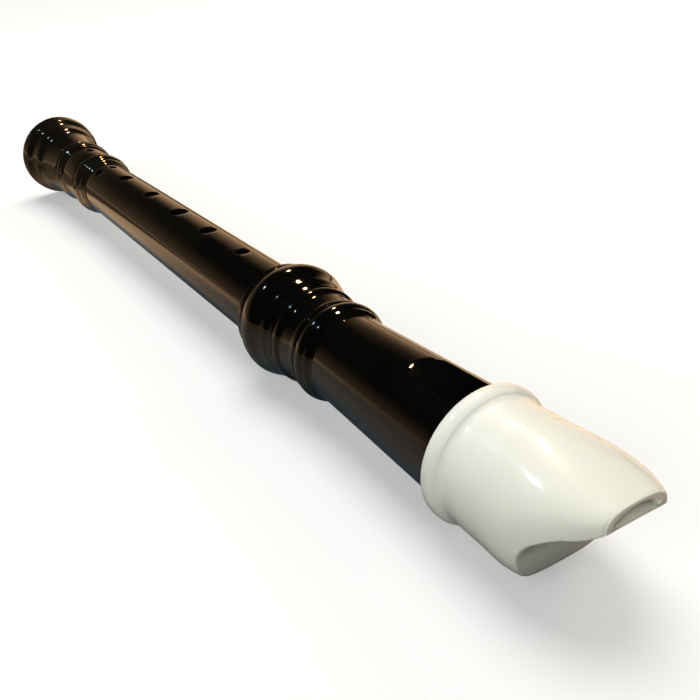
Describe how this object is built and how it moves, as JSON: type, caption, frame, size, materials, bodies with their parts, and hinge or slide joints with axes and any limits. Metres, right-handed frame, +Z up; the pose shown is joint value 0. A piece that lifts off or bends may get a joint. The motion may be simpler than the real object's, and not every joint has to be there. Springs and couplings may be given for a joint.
{
  "type": "soprano recorder",
  "caption": "Soprano recorder with push-fit head, middle and foot joints, a beak cap with a windway slot, a window, and finger holes.",
  "frame": {"origin": "on the table plane under the middle of the instrument: bottom centre of the bounding box, which the collar of the beak cap touches", "axes": "+X along the bore towards the mouthpiece, +Z up through the finger holes and the window, +Y to the player's right"},
  "size_m": [0.328, 0.0336, 0.0336],
  "materials": {
    "black_plastic": "polished near-black brown plastic",
    "ivory_plastic": "smooth ivory plastic, soft gloss",
    "cork": "fine cork, matt"
  },
  "bodies": {
    "middle_joint": {"middle_joint": "black_plastic"},
    "upper_lapping": {"upper_tenon_lapping": "cork"},
    "head": {"head_joint": "black_plastic", "beak_cap": "ivory_plastic", "windway_block": "ivory_plastic"},
    "lower_lapping": {"lower_tenon_lapping": "cork"},
    "foot": {"foot_joint": "black_plastic"}
  },
  "joints": [
    {"name": "head_twist", "type": "hinge", "parent": "middle_joint", "child": "upper_lapping", "pos_m": [0.044, 0, 0.0168], "axis": [1, 0, 0], "continuous": true},
    {"name": "head_pull", "type": "slide", "parent": "upper_lapping", "child": "head", "axis": [1, 0, 0], "range_m": [0, 0.03]},
    {"name": "foot_twist", "type": "hinge", "parent": "middle_joint", "child": "lower_lapping", "pos_m": [-0.1095, 0, 0.0168], "axis": [1, 0, 0], "continuous": true},
    {"name": "foot_pull", "type": "slide", "parent": "lower_lapping", "child": "foot", "axis": [-1, 0, 0], "range_m": [0, 0.02]}
  ]
}
